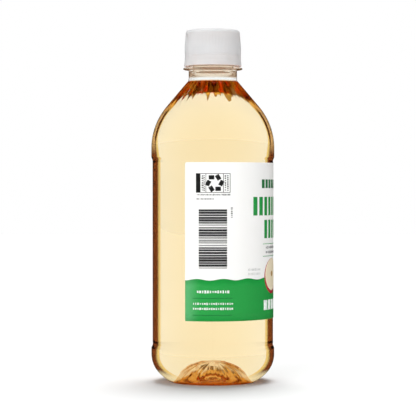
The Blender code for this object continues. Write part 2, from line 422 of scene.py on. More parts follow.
# %% [markdown]
# ### Clear PET, dry and wet
# PET is a clear polyester with an index of about 1.575. Blown against polished steel it is glossy, with
# slight waves a centimetre long that bend what is seen through it. Where vinegar backs the wall, light
# goes from plastic to liquid, and only the ratio of their indices counts, so the wet wall has that ratio
# for its index and the vinegar keeps its own.
#
# Light that grazes the wet wall has come through far more vinegar than light that meets it squarely, so
# The real bottle looks brown at its edges from every side, with a gold fringe, where the wet wall is
# seen edge on. Here that is painted shade: Layer Weight paints the wet plastic gold and then brown where
# it is seen edge on. The painted edge is pale at the heel, a dark line and then tan on the shoulder, and
# orange under the neck. Up there the whole wall also has a painted amber glow, in upright spikes with
# painted dark streaks.
# EDGE_FROM and EDGE_TO are values of Layer Weight's facing, which is 0 where a face is seen squarely and
# 1 where it is seen edge on. The pairs that end in Z are the heights between which a colour comes in.

# %% Sizes and colours of the wet wall
PET_IOR = 1.575
VINEGAR_IOR = 1.34
WALL_WAVE = 9 * MM
WALL_WAVE_H = 0.02 * MM
CLEAR = linear("#fdfefe")
EDGE_FROM = 0.520
EDGE_TO = 0.61
EDGE_TO_LOW = 0.66
EDGE_FRINGE = 0.03
EDGE_THINNER = 0.09
EDGE_SHARPER = 0.06
EDGE_LINE = (EDGE_FROM + 0.085, EDGE_FROM + 0.12)
HEEL_EDGE_Z = (3 * MM, 7.5 * MM)
LOW_EDGE_Z = (HEEL_TOP_Z - 3 * MM, PANEL_BOTTOM_Z + 2 * MM)
LINED_EDGE_Z = (SHOULDER_Z - 4 * MM, SHOULDER_Z + 6 * MM)
CONE_EDGE_Z = SHOULDER_Z + 8 * MM
ORANGE_EDGE_Z = (144 * MM, 149 * MM)
# Colours of the painted edge shade, from the pale heel to the orange under the neck.
PAINTED_EDGE_GOLD = linear("#e7bf61")
PAINTED_EDGE_PALE = linear("#fcefcb")
PAINTED_EDGE_BROWN = linear("#3c0c01")
PAINTED_EDGE_DARK = linear("#1f0200")
PAINTED_EDGE_TAN = linear("#bc864b")
PAINTED_EDGE_ORANGE = linear("#ed891d")
GLOW_Z = 152.6 * MM
GLOW_RISE = 2.5 * MM
GLOW_SPIKE = 2.8 * MM
GLOW_SPIKE_H = 24 * MM
GLOW_SPIKE_EDGE = 1.0 * MM
GLOW_STREAK = 1.5 * MM
GLOW_STREAK_EDGE = (0.52, 0.60)
GLOW_STREAK_SHARE = 0.85
GLOW_DRAWN_OUT = 0.1
# Colours of the painted amber glow and of its painted dark streaks.
PAINTED_GLOW_LOW = linear("#865512")
PAINTED_GLOW_HIGH = linear("#ffad16")
PAINTED_STREAK_SHADE = linear("#7c3003")

# %% Clear PET
pet, tree, place = new_material("blown_clear_pet")
surface(
    tree, Base_Color=mottled(tree, place, WALL_WAVE, "#f6f9f9", "#fdfefe"), Roughness=0.0, IOR=PET_IOR,
    Transmission_Weight=1.0, Normal=swollen(tree, place, WALL_WAVE, WALL_WAVE_H),
)

# %% [markdown]
# The painted edge shade is built up from below in one colour after another, each faded in by height, and
# is then faded in by how squarely the wall faces the ray. A ramp over the angle alone would give every
# height the same edge, which the real bottle doesn't have.

# %% Painted edge shade of the wet wall
wet_pet, tree, place = new_material("clear_pet_backed_by_vinegar")
height = add_node(tree, "ShaderNodeSeparateXYZ", (place,)).outputs["Z"]
facing = add_node(tree, "ShaderNodeLayerWeight", {"Blend": 0.5}).outputs["Facing"]
thinner = add_node(tree, "ShaderNodeMapRange", (
    height, PANEL_TOP_Z, CONE_EDGE_Z, 0.0, EDGE_THINNER,
), interpolation_type=EASED)
facing = add_node(tree, "ShaderNodeMath", (facing, thinner), operation="SUBTRACT")
edge_to = add_node(tree, "ShaderNodeMapRange", (
    height, *LOW_EDGE_Z, EDGE_TO_LOW, EDGE_TO,
), interpolation_type=EASED)
sharper = add_node(tree, "ShaderNodeMapRange", (
    height, SHOULDER_Z, CONE_EDGE_Z, 0.0, EDGE_SHARPER,
), interpolation_type=EASED)
edge_to = add_node(tree, "ShaderNodeMath", (edge_to, sharper), operation="SUBTRACT")
lined = fade(tree, facing, *EDGE_LINE, PAINTED_EDGE_DARK, PAINTED_EDGE_TAN)
edge = fade(tree, height, *LINED_EDGE_Z, PAINTED_EDGE_BROWN, lined)
edge = fade(tree, height, *ORANGE_EDGE_Z, edge, PAINTED_EDGE_ORANGE)
edge = fade(tree, height, *HEEL_EDGE_Z, PAINTED_EDGE_PALE, edge)
fringe = fade(tree, height, *HEEL_EDGE_Z, PAINTED_EDGE_PALE, PAINTED_EDGE_GOLD)
edge = fade(tree, facing, EDGE_FROM, edge_to, fringe, edge)
painted_rim = fade(tree, facing, EDGE_FROM - EDGE_FRINGE, EDGE_FROM, CLEAR, edge)

# %% [markdown]
# The painted glow under the neck, with its painted dark streaks, is noise drawn out upwards: its place runs
# round the neck at full scale and up the bottle at a tenth of it, so its blobs become spikes and streaks.
# It only tints light that enters the bottle, because light that leaves through the far wall would be tinted
# twice.

# %% Painted glow under the neck
around = add_node(tree, "ShaderNodeVectorMath", (place, (1.0, 1.0, 0.0)), operation="MULTIPLY")
around = add_node(tree, "ShaderNodeVectorMath", (around,), operation="NORMALIZE")
upright = add_node(tree, "ShaderNodeVectorMath", (place, (0.0, 0.0, GLOW_DRAWN_OUT)), operation="MULTIPLY")
drawn = add_node(tree, "ShaderNodeVectorMath", (
    around, (NECK_R, NECK_R, NECK_R), upright,
), operation="MULTIPLY_ADD")
spikes, stripes = [
    add_node(tree, "ShaderNodeTexNoise", {"Vector": drawn, "Scale": 1 / size, "Detail": PATTERN_DETAIL})
    for size in (GLOW_SPIKE, GLOW_STREAK)
]
reached = add_node(tree, "ShaderNodeMath", (spikes, GLOW_SPIKE_H, height), operation="MULTIPLY_ADD")
reached_z = GLOW_Z + GLOW_SPIKE_H / 2
painted_glow = fade(tree, height, GLOW_Z, GLOW_Z + GLOW_RISE, PAINTED_GLOW_LOW, PAINTED_GLOW_HIGH)
painted_glow = fade(tree, stripes, *GLOW_STREAK_EDGE, painted_glow, PAINTED_STREAK_SHADE, GLOW_STREAK_SHARE)
painted_glow = add_node(tree, "ShaderNodeMix", {
    0: 1.0, 6: painted_rim, 7: painted_glow,
}, data_type="RGBA", blend_type="MULTIPLY").outputs[2]
colour = fade(tree, reached, reached_z, reached_z + GLOW_SPIKE_EDGE, painted_rim, painted_glow)
leaving = add_node(tree, "ShaderNodeNewGeometry").outputs["Backfacing"]
colour = add_node(tree, "ShaderNodeMix", {0: leaving, 6: colour, 7: CLEAR}, data_type="RGBA").outputs[2]
surface(
    tree, Base_Color=colour, Roughness=0.0, IOR=PET_IOR / VINEGAR_IOR,
    Transmission_Weight=1.0, Normal=swollen(tree, place, WALL_WAVE, WALL_WAVE_H),
)

# %% Inside of the wet wall
inner_pet, tree, place = new_material("clear_pet_inside_by_vinegar")
surface(
    tree, Base_Color=mottled(tree, place, WALL_WAVE, "#fafcfc", "#ffffff"), Roughness=0.0,
    IOR=PET_IOR / VINEGAR_IOR, Transmission_Weight=1.0,
)

# %% [markdown]
# ### Neck and support ring
# The vinegar throws its amber light up into the support ring and the finish. That light is painted into
# the clear plastic there: painted beige, painted shade brown where it is seen edge on, and a faint painted
# glow of its own, so it is never quite dark.

# %% Neck plastic
NECK_PAINTED_GLOW = linear("#b59b7c")
NECK_PAINTED_GLOW_STRENGTH = 0.06
NECK_IOR = 1.26
neck_pet, tree, place = new_material("clear_pet_of_the_neck")
# Painted shade: brown where the neck is seen edge on. The emission is a painted glow.
facing = add_node(tree, "ShaderNodeLayerWeight", {"Blend": 0.5}).outputs["Facing"]
surface(
    tree, Base_Color=fade(tree, facing, 0.35, 0.90, linear("#ebe6dc"), linear("#7a5232")), Roughness=0.0,
    IOR=NECK_IOR, Transmission_Weight=1.0, Emission_Color=NECK_PAINTED_GLOW, Emission_Strength=NECK_PAINTED_GLOW_STRENGTH,
)

# %% [markdown]
# ### The base
# The middle of the base hardly stretches, so it stays thick and freezes in creases. Light gathers there
# after running the whole height of the bottle, and here it is painted into the base: a painted amber glow,
# orange above the foot, painted shade nearly dark in the line where it stands on the table, and painted
# shade browner in its creases. So the base plastic is a clear filter with those painted colours: it has no
# index of its own, because the vinegar above it does the bending.

# %% Base with painted glow and shade
BASE_TOP_Z = 14.5 * MM
BASE_CREASE = 3.2 * MM
BASE_CREASE_SHADE_SHARE = 0.75
BASE_CREASE_SHADE = linear("#cb9559")
# Painted light and shade by height: dark at the line on the table, a painted orange glow above it, paler
# higher up.
BASE_PAINTED_GLOW = {
    0.02: linear("#694b30"),
    0.07: linear("#ce6912"),
    0.40: linear("#eacba2"),
    0.95: linear("#fffaf3"),
}
base_pet, tree, place = new_material("thick_amber_lit_pet")
height = add_node(tree, "ShaderNodeSeparateXYZ", (place,)).outputs["Z"]
painted_glow = add_node(tree, "ShaderNodeValToRGB", (
    add_node(tree, "ShaderNodeMapRange", (height, 0.0, BASE_TOP_Z)),
))
ramp = painted_glow.color_ramp.elements
for share, colour in BASE_PAINTED_GLOW.items():
    ramp.new(share).color = colour
ramp.remove(ramp[0])
ramp.remove(ramp[-1])
# Painted shade: browner along the lines of a noise, for the creases.
crease_shade_mask = add_node(tree, "ShaderNodeTexNoise", {
    "Vector": place, "Scale": 1 / BASE_CREASE, "Detail": PATTERN_DETAIL,
})
crease_shade_mask = add_node(tree, "ShaderNodeMath", (crease_shade_mask, 0.5), operation="SUBTRACT")
crease_shade_mask = add_node(tree, "ShaderNodeMath", (crease_shade_mask,), operation="ABSOLUTE")
surface(
    tree, Base_Color=fade(tree, crease_shade_mask, 0.05, 0.0, painted_glow.outputs[0], BASE_CREASE_SHADE, BASE_CREASE_SHADE_SHARE),
    Roughness=0.0, IOR=1.0, Transmission_Weight=1.0,
)

# %% [markdown]
# ### Vinegar
# Cider vinegar is water with a little acid and brown matter. Its colour is all in its depth: a thin
# layer is nearly clear, the width of the bottle is pale amber, and the height of it is deep orange. So
# the colour is an absorption, set on the shader's own sockets, and the skin itself has no colour.

# %% Vinegar
VINEGAR_DENSITY = 15.0
vinegar_look, tree, place = new_material("amber_vinegar")
absorption = add_node(tree, "ShaderNodeVolumeAbsorption", {
    "Color": linear("#f8db6c"), "Density": VINEGAR_DENSITY,
})
surface(
    tree, absorption, Base_Color=linear("#ffffff"), Roughness=0.0, IOR=VINEGAR_IOR,
    Transmission_Weight=1.0, Specular_Tint=linear("#000000"),
)

# %% [markdown]
# ### Cap
# White polypropylene is never quite opaque: light soaks a few millimetres into it, so a thin cap glows
# inside. Moulding leaves a satin skin with a very fine grain and faint flow marks. The real grain is finer
# than the render can show, so it is drawn half a millimetre wide.

# %% Polypropylene
PP_GLOW_DEPTH = 3 * MM
PP_GRAIN = 0.5 * MM
PP_GRAIN_H = 0.012 * MM
PP_FLOW = 7 * MM
polypropylene, tree, place = new_material("white_polypropylene")
surface(
    tree, Base_Color=mottled(tree, place, PP_FLOW, "#d4d6d8", "#dddfe1"),
    Roughness=patchy(tree, place, PP_FLOW, 0.36, 0.46), Specular_IOR_Level=1.0,
    Subsurface_Weight=1.0, Subsurface_Radius=(1.0, 1.0, 1.0), Subsurface_Scale=PP_GLOW_DEPTH,
    Normal=swollen(tree, place, PP_GRAIN, PP_GRAIN_H),
)

# %% [markdown]
# ### Label film and inks
# The label is white polypropylene film of about a tenth of a millimetre. It is smooth, and where it is
# glued it follows the bottle with slight swells. Ink lies on it in films of a few microns, a little
# uneven in density, and each ink has the film's satin gloss. Real mottle is finer than the render can
# show, so it is drawn just over a millimetre wide.

# %% Film and inks
FILM_GLOW_DEPTH = 0.4 * MM
FILM_SWELL = 14 * MM
FILM_SWELL_H = 0.03 * MM
INK_MOTTLE = 1.2 * MM
INK_ROUGHNESS = 0.38
film_look, tree, place = new_material("white_label_film")
surface(
    tree, Base_Color=mottled(tree, place, FILM_SWELL, "#f8f9f7", "#ffffff"),
    Roughness=patchy(tree, place, INK_MOTTLE, 0.32, 0.40),
    Subsurface_Weight=0.3, Subsurface_Radius=(1.0, 1.0, 1.0), Subsurface_Scale=FILM_GLOW_DEPTH,
    Normal=swollen(tree, place, FILM_SWELL, FILM_SWELL_H),
)


def ink(name, dark, light):
    """A printed ink, uneven between two colours."""
    material, tree, place = new_material(name)
    surface(
        tree, Base_Color=mottled(tree, place, INK_MOTTLE, dark, light), Roughness=INK_ROUGHNESS,
        Normal=swollen(tree, place, FILM_SWELL, FILM_SWELL_H),
    )
    return material


black_ink = ink("black_ink", "#141414", "#2a2a2a")
grey_ink = ink("grey_ink", "#6e6e6e", "#8a8a8a")
dull_ink = ink("dull_grey_ink", "#9c9c9c", "#b4b4b4")
pale_ink = ink("pale_grey_ink", "#cfd1cf", "#dddedd")
white_ink = ink("white_ink", "#eef6ef", "#fbfdfb")
leaf_ink = ink("green_ink", "#1f9440", "#27a04a")
deep_ink = ink("deep_green_ink", "#0f6d33", "#1a7d3d")
red_ink = ink("red_ink", "#a80f28", "#bd1c34")
gold_ink = ink("gold_ink", "#a47a35", "#bd9248")
cream_ink = ink("cream_ink", "#ead9b6", "#f4e8cd")

# %% [markdown]
# The green of the band carries a painted highlight at its left end, where the label starts: it is painted
# lighter there and reaches its full strength within a centimetre.

# %% Green band ink
# Painted highlight: the band's green is lighter at the label's left end.
BAND_PAINTED_HIGHLIGHT = "#58b26f"
BAND_FULL = "#1c9f42"
BAND_HIGHLIGHT_FADE = 9 * MM
BAND_SHADE = "#178a3a"
BAND_MOTTLE = 0.12
band_ink, tree, place = new_material("green_band_ink")
spot = add_node(tree, "ShaderNodeSeparateXYZ", (place,)).outputs
away = add_node(tree, "ShaderNodeMath", (0.0, spot["Y"]), operation="SUBTRACT")
turn = add_node(tree, "ShaderNodeMath", (spot["X"], away), operation="ARCTAN2")
mottle = add_node(tree, "ShaderNodeTexNoise", {
    "Vector": place, "Scale": 1 / INK_MOTTLE, "Detail": PATTERN_DETAIL,
})
green = fade(
    tree, turn, LABEL_START, LABEL_START + BAND_HIGHLIGHT_FADE / FILM_R, linear(BAND_PAINTED_HIGHLIGHT), linear(BAND_FULL),
)
surface(
    tree, Base_Color=fade(tree, mottle, 0.2, 0.8, green, linear(BAND_SHADE), BAND_MOTTLE),
    Roughness=INK_ROUGHNESS, Normal=swollen(tree, place, FILM_SWELL, FILM_SWELL_H),
)

# %% [markdown]
# ## The blown body
# Blowing stretches a hot preform against a cold mould. The outside is true to the mould, and the wall
# is thick where the plastic froze early: at the base and at the foot of the neck.

# %% Outline of the blown body
def blown_outline():
    """The outside from the middle of the base up to the end of the cone under the neck."""
    turns = [DOME_SWEEP * i / DOME_STEPS for i in range(DOME_STEPS + 1)]
    dome = [(DOME_R * math.sin(turn), DOME_Z * math.cos(turn), 0) for turn in turns]
    lift = (FOOT_R + FOOT_PULL * math.cos(FOOT_RISE), FOOT_PULL * math.sin(FOOT_RISE))
    pull = (BODY_R, HEEL_TOP_Z - HEEL_PULL)
    heel = bezier((FOOT_R, 0.0), lift, pull, (BODY_R, HEEL_TOP_Z), HEEL_STEPS)
    foot = [
        (SKIRT_R, SKIRT_Z, 2.5 * MM),
        (FOOT_R - FOOT_LAND, 0.0, 2.5 * MM),
        (*heel[0], 0.0),
    ]
    groove_r = PANEL_R - PANEL_GROOVE
    rows = np.linspace(PANEL_BOTTOM_Z, PANEL_TOP_Z, PANEL_ROWS + 1)[1:-1]
    panel = [
        (*heel[-2], 0.0),
        (BODY_R, PANEL_BOTTOM_Z - PANEL_STEP, 1.2 * MM),
        (PANEL_R, PANEL_BOTTOM_Z, 1.0 * MM),
        (groove_r, PANEL_BOTTOM_Z + PANEL_STEP / 2, 1.2 * MM),
        (PANEL_R, PANEL_BOTTOM_Z + PANEL_STEP, 1.2 * MM),
        *[(PANEL_R, z, 0) for z in rows],
        (PANEL_R, PANEL_TOP_Z, 1.2 * MM),
        (BODY_R, PANEL_TOP_Z + PANEL_STEP, 1.5 * MM),
        (BODY_R, SHOULDER_Z, 0),
    ]
    middle = (BODY_R - SHOULDER_ARC_R, SHOULDER_Z)
    shoulder = arc(middle, SHOULDER_ARC_R, 0.0, SHOULDER_SLOPE, SHOULDER_STEPS)
    return rounded(dome + foot) + heel[1:-2] + rounded(panel) + shoulder[1:]


def cone_z(radius):
    """Height at which the straight cone of the shoulder has a radius."""
    start_r = BODY_R - SHOULDER_ARC_R + SHOULDER_ARC_R * math.cos(SHOULDER_SLOPE)
    start_z = SHOULDER_Z + SHOULDER_ARC_R * math.sin(SHOULDER_SLOPE)
    return start_z + (start_r - radius) / math.tan(SHOULDER_SLOPE)


def wall_at(z):
    """Wall thickness of the blown body: thick in the base, thin in the panel, thicker by the neck."""
    thinned = (WALL - BASE_WALL) * smooth_step(*THINNING_Z, z)
    return BASE_WALL + thinned + (ROOT_WALL - WALL) * smooth_step(ROOT_FROM_Z, NECK_Z, z)


cone_top = (CONE_TOP_R, cone_z(CONE_TOP_R))
blown = blown_outline()
cone = np.linspace(blown[-1], cone_top, CONE_STEPS, endpoint=False)[1:]
blown += [tuple(p) for p in cone]
print("outline of the blown body:", len(blown), "points")

# %% Outline of the neck, ring and finish
inner_skin = inset(blown, wall_at)
root_in = NECK_R - ROOT_WALL
root_z = inner_skin[-1][1] + (inner_skin[-1][0] - root_in) / math.tan(SHOULDER_SLOPE)
neck = rounded([
    (*blown[-1], 0),
    (*cone_top, 1.2 * MM),
    (NECK_R, NECK_Z + 1.2 * MM, 0.8 * MM),
    (NECK_R, RING_Z, 0.5 * MM),
    (RING_R - 0.3 * MM, RING_Z + 0.25 * MM, 0.3 * MM),
    (RING_R, RING_Z + 0.65 * MM, 0.4 * MM),
    (RING_R - 0.3 * MM, RING_Z + 1.05 * MM, 0.3 * MM),
    (NECK_R, RING_Z + RING_T, 0.4 * MM),
    (NECK_R, BEAD_Z - BEAD_T / 2, 0.3 * MM),
    (BEAD_R, BEAD_Z - BEAD_T / 4, 0.3 * MM),
    (BEAD_R, BEAD_Z + BEAD_T / 4, 0.3 * MM),
    (FINISH_R, BEAD_Z + BEAD_T, 0.3 * MM),
    (FINISH_R, MOUTH_Z, LIP),
    (FINISH_BORE_R, MOUTH_Z, LIP),
    (FINISH_BORE_R, BEAD_Z, 2 * MM),
    (NECK_R - NECK_WALL, RING_Z - RING_T, 2 * MM),
    (root_in, NECK_Z + 0.8 * MM, 1.0 * MM),
    (root_in, root_z, 1.0 * MM),
    (*inner_skin[-1], 0),
])
wall_outline = blown + neck[1:] + inner_skin[-2::-1]
print("outline of the whole wall:", len(wall_outline), "points")

# %% [markdown]
# ## Base ribs, streaks under the neck and the parting line
# The pushed-up base has low radial folds with fine wrinkles between them, and where the wall is
# stretched out of the neck the plastic freezes in upright streaks. The mould's two halves also leave a
# very low line at the front and at the back. All of these follow a rule of the angle, so the lathe
# nudges its rings by that rule.

# %% Nudges
BASE_RIBS = 8
BASE_RIB_H = 0.6 * MM
BASE_RIB_POWER = 0.7
BASE_RIB_MEAN = 0.6
BASE_WRINKLES = (23, 34, 47, 57)
BASE_WRINKLE_H = 0.25 * MM
STREAK_IN_H = 0.24 * MM
STREAK_OUT_H = 0.05 * MM
STREAK_LOW_Z = 143 * MM
STREAK_HIGH_Z = NECK_Z - 3 * MM
STREAK_SEED = 11
STREAK_WAVES = 11
STREAKS_ROUND = (14, 62)
PARTING_H = 0.12 * MM
PARTING_W = 1.3 * MM
streak_rng = np.random.default_rng(STREAK_SEED)
streak_counts = streak_rng.choice(np.arange(*STREAKS_ROUND), STREAK_WAVES, replace=False)
streak_phases = streak_rng.uniform(0, TAU, STREAK_WAVES)


def lift_base_ribs(r, z, angles):
    """Raises a ring of the dome between the folds, which run out from the middle."""
    inside = (r < DOME_R) & (z < HEEL_TOP_Z)
    swell = np.where(inside, np.sin(np.pi * np.minimum(r / DOME_R, 1.0)) ** 2, 0.0)
    fold = np.abs(np.cos(BASE_RIBS / 2 * angles)) ** BASE_RIB_POWER
    wrinkle = sum(np.cos(n * angles + n) for n in BASE_WRINKLES) / len(BASE_WRINKLES)
    return z + swell * (BASE_RIB_H * (fold - BASE_RIB_MEAN) + BASE_WRINKLE_H * wrinkle)


def streaks(angles, height, amount):
    """The swell of the upright streaks at a height."""
    waves = sum(np.cos(n * angles + p) for n, p in zip(streak_counts, streak_phases))
    return amount * smooth_step(STREAK_LOW_Z, STREAK_HIGH_Z, height) * waves / len(streak_counts) ** 0.5


def parting_line(angles):
    """The low line of the mould at the front and the back."""
    off = np.minimum(np.abs(np.sin(angles / 2)), np.abs(np.cos(angles / 2))) * 2 * BODY_R
    return PARTING_H * np.exp(-(off / PARTING_W) ** 2)


def nudge_wall(r, z, angles, index):
    """The wall's rings: streaks on both skins, and the parting line outside, never past the body."""
    height = float(z[0])
    if index >= len(blown) + len(neck) - 1:
        r = r + streaks(angles, height, STREAK_IN_H)
    elif index < len(blown):
        r = r + streaks(angles, height, STREAK_OUT_H)
        if HEEL_TOP_Z / 2 < height:
            r = r + parting_line(angles) * (1 - smooth_step(STREAK_LOW_Z, NECK_Z, height))
            r = np.minimum(r, BODY_R)
    return r, lift_base_ribs(r, z, angles)


# %% [markdown]
# The wall is one closed skin, outside and inside, so that light bends at both faces as in the real one.
# One mesh can carry several plastics: each face takes the look of what it's backed by, which is told
# from its height and from the side that it faces.

# %% Turn the bottle
BOTTLE_SEGMENTS = 240
BASE_ZONE_R = 23.4 * MM
NECK_ZONE_Z = NECK_Z + 1.6 * MM
DRY, WET, PAINTED_BASE, NECK, WET_INSIDE = range(5)
bottle_mesh = turned("bottle_wall", wall_outline, BOTTLE_SEGMENTS, nudge_wall)
bottle = add_piece("bottle_blown", bottle_mesh)
for look in (pet, wet_pet, base_pet, neck_pet, inner_pet):
    bottle_mesh.materials.append(look)
for face in bottle_mesh.polygons:
    middle = face.center
    if middle.z < BASE_TOP_Z and math.hypot(middle.x, middle.y) < BASE_ZONE_R:
        face.material_index = PAINTED_BASE
    elif middle.z < LEVEL_Z:
        outside = middle.x * face.normal.x + middle.y * face.normal.y > 0
        face.material_index = WET if outside else WET_INSIDE
    else:
        face.material_index = NECK if middle.z > NECK_ZONE_Z else DRY

# %% [markdown]
# ## The vinegar
# A liquid takes the form of what holds it. Its skin reaches a little way into the plastic wall, so a
# ray of light never meets a gap of air between the two, and its top curls up where it wets the wall.

# %% Fill the bottle
REACH = 0.2 * MM
MENISCUS = 0.35 * MM


def vinegar_outline():
    """The skin of the vinegar, a little way inside the wall, and its top with the meniscus."""
    skin = inset(blown, lambda z: wall_at(z) - REACH)
    below = [p for p in skin if p[1] < LEVEL_Z]
    wetted_r = below[-1][0] - (LEVEL_Z - below[-1][1]) * math.tan(SHOULDER_SLOPE)
    edge_r = wetted_r - 2 * REACH
    return below + [
        (wetted_r, LEVEL_Z),
        (edge_r, LEVEL_Z),
        (edge_r - 0.4 * MM, LEVEL_Z - 0.7 * MENISCUS),
        (edge_r - 1.2 * MM, LEVEL_Z - MENISCUS),
        (edge_r - 3 * MM, LEVEL_Z - MENISCUS),
        (0.0, LEVEL_Z - MENISCUS),
    ]


def nudge_vinegar(r, z, angles, index):
    """The vinegar follows the folds and wrinkles of the base."""
    return r, lift_base_ribs(r, z, angles)


vinegar_mesh = turned("vinegar", vinegar_outline(), BOTTLE_SEGMENTS, nudge_vinegar)
vinegar = add_piece("vinegar_fill", vinegar_mesh, vinegar_look)

# %% [markdown]
# ## The cap
# Caps like this are one moulding of polypropylene. Fine upright grip ribs cover the upper half, and the
# lathe nudges its rings to give them. The tamper band hangs on small bridges behind a slit so narrow
# that it shows only as a shallow score round the cap, so cap and band are turned as one piece with that
# score. The hem flares a little over the support ring.

# %% Sizes of the cap
CAP_TOP_R = 14.55 * MM
CAP_CORNER = 2.1 * MM
CAP_SKIRT_R = 15.15 * MM
CAP_SKIRT_Z = 179.6 * MM
CAP_TAPER = 3.0 * MM
CAP_GRIP_R = 14.85 * MM
CAP_HEM_Z = 172.2 * MM
CAP_PLATE = 1.4 * MM
CAP_BORE_R = 13.7 * MM
BAND_BORE_R = 14.15 * MM
SLIT_Z = 175.05 * MM
SLIT = 0.06 * MM
SLIT_DEPTH = 0.15 * MM
SCORE = 2.1 * MM
SCORE_DEPTH = 0.06 * MM
GRIP_RIBS = 120
GRIP_RIB_H = 0.05 * MM
GRIP_FROM_Z = (CAP_SKIRT_Z - 1.5 * MM, CAP_SKIRT_Z + 1 * MM)
GRIP_TO_Z = (CAP_TOP_Z - 3.5 * MM, CAP_TOP_Z - CAP_CORNER)
CAP_SEGMENTS = 480

# %% Turn the cap and its band
score_r = CAP_SKIRT_R - SCORE_DEPTH
cap_outline = rounded([
    (0.0, CAP_TOP_Z, 0),
    (CAP_TOP_R - CAP_CORNER - 1.0 * MM, CAP_TOP_Z, 0),
    (CAP_TOP_R, CAP_TOP_Z, CAP_CORNER),
    (CAP_TOP_R + 0.1 * MM, CAP_TOP_Z - 3.0 * MM, 0),
    (CAP_GRIP_R, CAP_SKIRT_Z + CAP_TAPER, 4 * MM),
    (CAP_GRIP_R + 0.15 * MM, CAP_SKIRT_Z + CAP_TAPER / 2, 0),
    (CAP_SKIRT_R, CAP_SKIRT_Z, 4 * MM),
    (CAP_SKIRT_R, SLIT_Z + SCORE / 2, 0.1 * MM),
    (score_r, SLIT_Z + SCORE / 3, 0.1 * MM),
    (score_r, SLIT_Z + SLIT / 2, 0),
    (CAP_SKIRT_R - SLIT_DEPTH, SLIT_Z, 0),
    (score_r, SLIT_Z - SLIT / 2, 0),
    (score_r, SLIT_Z - SCORE / 3, 0.1 * MM),
    (CAP_SKIRT_R, SLIT_Z - SCORE / 2, 0.1 * MM),
    (CAP_SKIRT_R, CAP_HEM_Z, 3 * MM),
    (CAP_HEM_R, CAP_BOTTOM_Z, 0.3 * MM),
    (BAND_BORE_R, CAP_BOTTOM_Z, 0.3 * MM),
    (BAND_BORE_R, SLIT_Z - 0.2 * MM, 0.3 * MM),
    (CAP_BORE_R, SLIT_Z + 0.2 * MM, 0.3 * MM),
    (CAP_BORE_R, CAP_TOP_Z - CAP_PLATE, 0.5 * MM),
    (0.0, CAP_TOP_Z - CAP_PLATE, 0),
])


def rib_grip(r, z, angles, index):
    """Lifts the grip ribs on the outside, which die out towards the top and the smooth skirt."""
    height = float(z[0])
    share = smooth_step(*GRIP_FROM_Z, height) * (1 - smooth_step(*GRIP_TO_Z, height))
    outside = r > CAP_BORE_R + 0.1 * MM
    return r + np.where(outside, GRIP_RIB_H * share * np.cos(GRIP_RIBS * angles), 0.0), z


cap_mesh = turned("cap", cap_outline, CAP_SEGMENTS, rib_grip)
cap = add_piece("cap_moulding", cap_mesh, polypropylene, sharp=50)

# %% [markdown]
# ## The label
# A strip of white plastic film, wrapped from just left of the front round to the back. Its corners are
# cut with a small radius and it lies close on the panel.

# %% Label film
low_u, high_u = LABEL_START * FILM_R, LABEL_END * FILM_R


def film_loop(u):
    """The loop of points across the film. u is the distance round the bottle from its front."""
    near = min(u - low_u, high_u - u, FILM_CORNER)
    cut = FILM_CORNER - math.sqrt(FILM_CORNER**2 - (FILM_CORNER - near)**2)
    heights = list(np.linspace(LABEL_BOTTOM_Z + cut, LABEL_TOP_Z - cut, FILM_ROWS + 1))
    loop = [(FILM_R, z) for z in heights] + [(FILM_R - FILM_T, z) for z in reversed(heights)]
    return [(r * math.sin(u / FILM_R), -r * math.cos(u / FILM_R), z) for r, z in loop]


def film_mesh():
    """Loops joined from the label's start to its end, with both ends closed."""
    points = [p for u in np.linspace(low_u, high_u, LABEL_STEPS + 1) for p in film_loop(u)]
    loop = 2 * (FILM_ROWS + 1)
    last = LABEL_STEPS * loop
    faces = []
    for start in range(0, last, loop):
        for k in range(loop):
            a, b = start + k, start + (k + 1) % loop
            faces.append((a, a + loop, b + loop, b))
    for start in (0, last):
        for j in range(FILM_ROWS):
            faces.append((start + j, start + j + 1, start + loop - 2 - j, start + loop - 1 - j))
    mesh = bpy.data.meshes.new("label_film")
    mesh.from_pydata(points, [], faces)
    return mesh


label = add_piece("label_film", film_mesh(), film_look, sharp=40)

# %% [markdown]
# ## Print on the label
# Print is ink on the film, so each mark is a very thin closed block that stands a few hundredths of a
# millimetre proud of it. All of it is plain: bars, blocks, lines and discs.
#
# Rows of words, the bars of a price code and plain lines are all blocks along a line. The tree below
# lays a count of blocks from a start by a step, and shrinks each by a seeded random share, so the same
# tree gives a row of small words or a column of bars of uneven height.

# %% Row of blocks
PRINT_SINK = 0.012 * MM
PRINT_T = 0.026 * MM
OVERPRINT_T = 0.05 * MM


def row_tree():
    """Blocks in a row, each shrunk by a random share of its own."""
    tree, given = new_tree(
        "row_of_blocks", Count=1, Start=(0.0, 0.0, 0.0), Step=(0.0, 0.0, 0.001),
        Size=(0.001, 0.00003, 0.001), Shrink_Low=(1.0, 1.0, 1.0), Shrink_High=(1.0, 1.0, 1.0),
        Slices=2, Seed=0,
    )
    spots = add_node(tree, "GeometryNodeMeshLine", {
        "Count": given["Count"], "Start Location": given["Start"], "Offset": given["Step"],
    }, mode="OFFSET")
    block = add_node(tree, "GeometryNodeMeshCube", (given["Size"], given["Slices"], 2, 2))
    share = add_node(tree, "FunctionNodeRandomValue", {
        "Min": given["Shrink Low"], "Max": given["Shrink High"], "Seed": given["Seed"],
    }, data_type="FLOAT_VECTOR")
    blocks = add_node(tree, "GeometryNodeInstanceOnPoints", {
        "Points": spots, "Instance": block, "Scale": share,
    })
    return end_tree(tree, given, blocks)


row_of_blocks = row_tree()

# %% [markdown]
# The sign on the left panel has a ring of blocks, each turned to follow the circle, and the main panel
# has round spots of ink. Both are grown flat on the film in the same way.

# %% Ring of printed blocks, and discs
DISC_SIDES = 48
DISC_RINGS = 8


